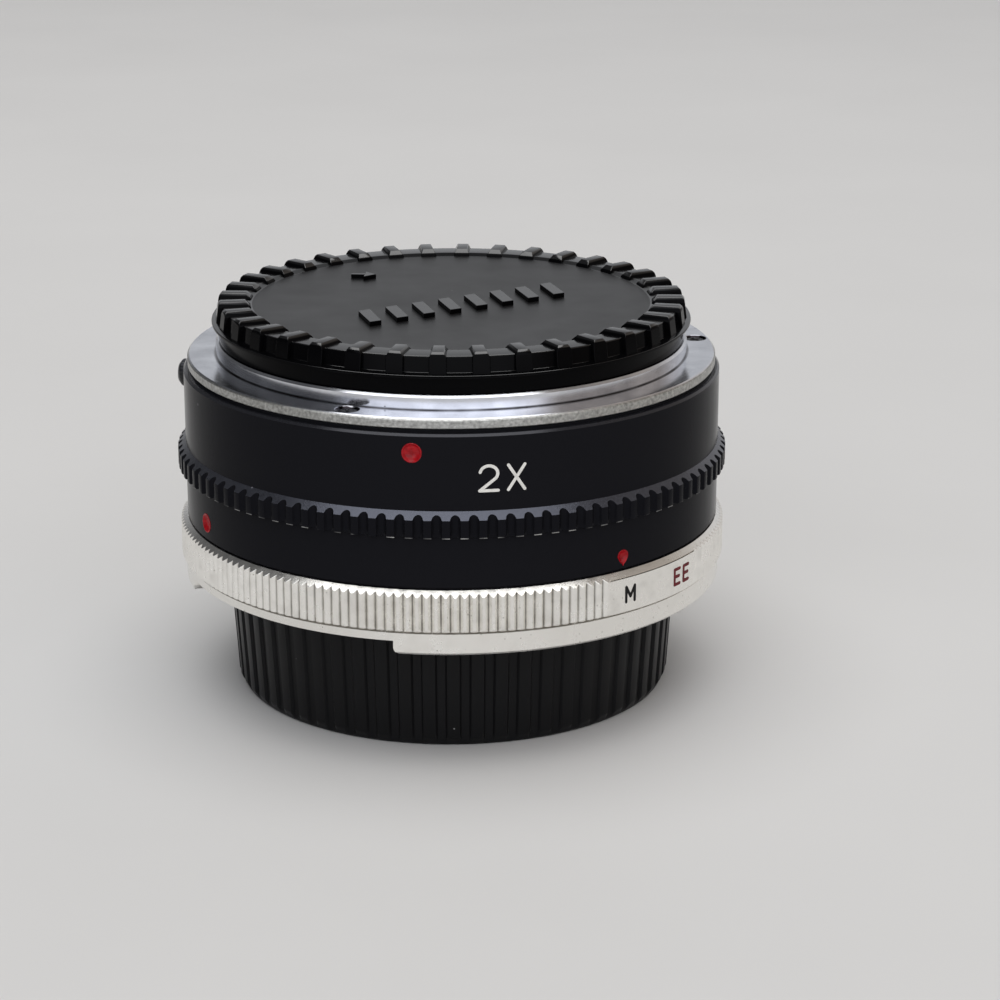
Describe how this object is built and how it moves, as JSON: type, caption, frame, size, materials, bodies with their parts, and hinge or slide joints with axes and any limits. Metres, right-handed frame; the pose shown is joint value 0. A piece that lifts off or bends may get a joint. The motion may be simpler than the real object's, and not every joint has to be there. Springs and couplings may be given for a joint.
{
  "type": "camera teleconverter",
  "caption": "Round camera teleconverter with a black fluted barrel, chromed front bayonet, knurled silver mode ring and two black end caps, standing on its rear cap.",
  "frame": {"origin": "centre of the flat foot of the rear cap, on the optical axis", "axes": "+Z along the optical axis to the front cap, -Y towards the lens index dot side that faces the viewer"},
  "size_m": [0.0638, 0.0638, 0.0458],
  "materials": {
    "black_anodised": "black anodised, satin",
    "black_grip": "black anodised, fluted",
    "silver_anodised": "clear anodised, satin",
    "chromed_brass": "satin chrome over brass",
    "steel": "plain",
    "spring_steel": "plain",
    "lever_brass": "plain",
    "black_inner": "matt black anodised",
    "coated_glass": "coated, polished",
    "red_lacquer": "red lacquer fill",
    "dark_knob": "dark anodised",
    "cap_plastic": "moulded, satin disc and glossy teeth",
    "rear_cap_plastic": "moulded, matt"
  },
  "bodies": {
    "converter": {"barrel": "black_anodised", "grip_band": "black_grip", "lens_index_dot": "red_lacquer", "body_index_dot": "red_lacquer", "mode_index_mark": "red_lacquer", "front_mount": "chromed_brass", "front_mount_screws": "steel", "bayonet_springs": "spring_steel", "rear_skirt": "silver_anodised", "rear_mount": "chromed_brass", "rear_mount_screws": "steel", "click_spring": "spring_steel", "lens_cell": "black_inner", "cell_screws": "steel", "front_element": "coated_glass", "second_element": "coated_glass", "third_element": "coated_glass", "rear_element": "coated_glass", "front_spacer": "black_inner", "middle_spacer": "black_inner", "rear_spacer": "black_inner", "retaining_ring": "black_inner", "light_baffle": "black_inner", "stop_down_keeper": "black_inner", "stop_down_spring": "spring_steel", "meter_keeper": "black_inner", "meter_spring": "spring_steel", "lock_spring": "spring_steel"},
    "front_cap": {"front_cap": "cap_plastic"},
    "rear_cap": {"rear_cap": "rear_cap_plastic"},
    "mode_ring": {"mode_ring": "silver_anodised"},
    "mode_pin": {"mode_pin": "steel"},
    "release": {"release_knob": "dark_knob", "lock_slide": "steel", "lock_pin": "steel"},
    "stop_down": {"stop_down_ring": "lever_brass"},
    "meter": {"meter_ring": "lever_brass"}
  },
  "joints": [
    {"name": "front_cap_twist", "type": "hinge", "parent": "converter", "child": "front_cap", "pos_m": [0, 0, 0.0411], "axis": [0, 0, 1], "range_deg": [0, 60]},
    {"name": "rear_cap_twist", "type": "hinge", "parent": "converter", "child": "rear_cap", "pos_m": [0, 0, 0.0142], "axis": [0, 0, 1], "range_deg": [0, 60]},
    {"name": "mode_ring_turn", "type": "hinge", "parent": "converter", "child": "mode_ring", "pos_m": [0, 0, 0.018], "axis": [0, 0, 1], "range_deg": [-16, 0], "deforming": ["click_spring"]},
    {"name": "mode_pin_slide", "type": "slide", "parent": "converter", "child": "mode_pin", "axis": [0, 0, 1], "range_m": [-0.00121, 0]},
    {"name": "lock_release", "type": "slide", "parent": "converter", "child": "release", "axis": [0, 0, 1], "range_m": [-0.001, 0], "stiffness_N_per_m": 600, "springref_m": 0.002, "deforming": ["lock_spring"]},
    {"name": "stop_down_turn", "type": "hinge", "parent": "converter", "child": "stop_down", "pos_m": [0, 0, 0.028], "axis": [0, 0, 1], "range_deg": [0, 25], "stiffness_Nm_per_rad": 0.01, "springref_deg": -17.19, "deforming": ["stop_down_spring"]},
    {"name": "meter_turn", "type": "hinge", "parent": "converter", "child": "meter", "pos_m": [0, 0, 0.023], "axis": [0, 0, 1], "range_deg": [0, 40], "stiffness_Nm_per_rad": 0.01, "springref_deg": -17.19, "deforming": ["meter_spring"]}
  ],
  "couplings": [
    {"joint": "mode_pin_slide", "follows": "mode_ring_turn", "m_per_rad": 0.0042972}
  ]
}
